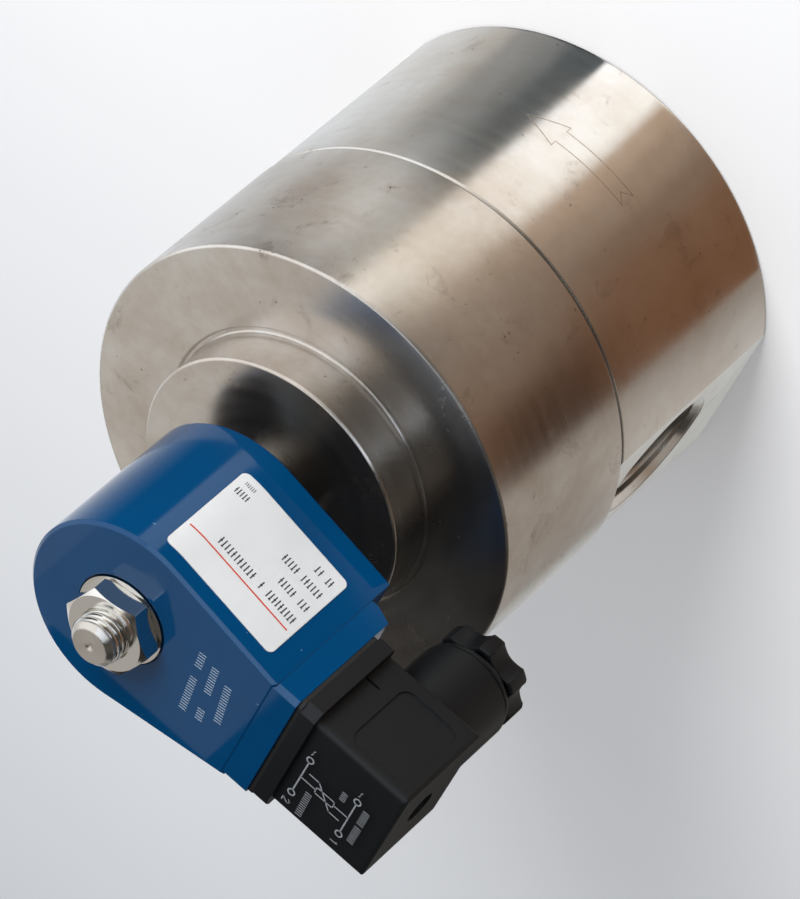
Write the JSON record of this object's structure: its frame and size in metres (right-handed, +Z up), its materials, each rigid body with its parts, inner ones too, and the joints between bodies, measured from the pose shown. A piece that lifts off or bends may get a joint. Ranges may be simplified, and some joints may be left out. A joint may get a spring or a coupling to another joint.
{
  "type": "high pressure solenoid valve",
  "caption": "Round stainless high pressure solenoid valve with threaded ports, screwed bonnet, sprung piston and plunger, blue coil and square black cable connector.",
  "frame": {"origin": "centre of the flat foot of the port body, on the stem axis", "axes": "+Z up along the stem, +X towards the outlet port, so the connector and the inlet port point to -X and the label faces -Y"},
  "size_m": [0.1284, 0.11, 0.18],
  "materials": {
    "turned_stainless": "finely turned, satin",
    "inner_stainless": "turned",
    "spring_steel": "drawn wire",
    "yoke_steel": "zinc plated",
    "bright_plated": "bright plated",
    "copper": "enamelled copper wire",
    "contact_brass": "machined",
    "tinned_brass": "tinned",
    "coil_blue": "glossy moulded encapsulation",
    "label_film": "printed film",
    "connector_black": "moulded, fine satin",
    "carrier_grey": "moulded",
    "bobbin_polymer": "moulded",
    "seat_polymer": "turned",
    "ring_bronze": "turned",
    "ring_filled": "turned",
    "black_rubber": "moulded"
  },
  "bodies": {
    "valve": {"valve_body": "turned_stainless", "bonnet": "turned_stainless", "body_seal": "black_rubber", "armature_tube": "inner_stainless", "tube_seal": "black_rubber", "fixed_core": "inner_stainless", "piston_spring": "spring_steel", "plunger_spring": "spring_steel", "coil_seat_seal": "black_rubber", "coil_washer": "bright_plated", "coil_nut": "bright_plated"},
    "piston_group": {"piston": "inner_stainless", "piston_ring": "ring_filled", "guide_ring": "ring_bronze", "seat_disc": "seat_polymer", "seat_retainer": "inner_stainless"},
    "plunger_group": {"plunger": "inner_stainless", "pilot_disc": "black_rubber"},
    "coil": {"coil_housing": "coil_blue", "bobbin": "bobbin_polymer", "copper_winding": "copper", "yoke_sleeve": "yoke_steel", "yoke_top_plate": "yoke_steel", "yoke_bottom_plate": "yoke_steel", "line_blades": "tinned_brass", "earth_blade": "tinned_brass", "rating_label": "label_film", "connector_gasket": "black_rubber", "connector_housing": "connector_black", "contact_carrier": "carrier_grey", "contact_clamps": "contact_brass", "clamp_screws": "bright_plated", "centre_screw": "bright_plated", "screw_seal": "black_rubber", "gland_grommet": "black_rubber", "gland_washer": "bright_plated", "gland_nut": "connector_black"}
  },
  "joints": [
    {"name": "plunger_lift", "type": "slide", "parent": "valve", "child": "plunger_group", "axis": [0, 0, 1], "range_m": [0, 0.007], "stiffness_N_per_m": 300, "springref_m": -0.01, "deforming": ["plunger_spring"]},
    {"name": "piston_lift", "type": "slide", "parent": "valve", "child": "piston_group", "axis": [0, 0, 1], "range_m": [0, 0.006], "stiffness_N_per_m": 500, "springref_m": -0.006, "deforming": ["piston_spring"]},
    {"name": "coil_turn", "type": "hinge", "parent": "valve", "child": "coil", "pos_m": [0, 0, 0.1261], "axis": [0, 0, 1], "continuous": true}
  ],
  "couplings": [
    {"joint": "piston_lift", "follows": "plunger_lift", "ratio": 0.85714}
  ]
}
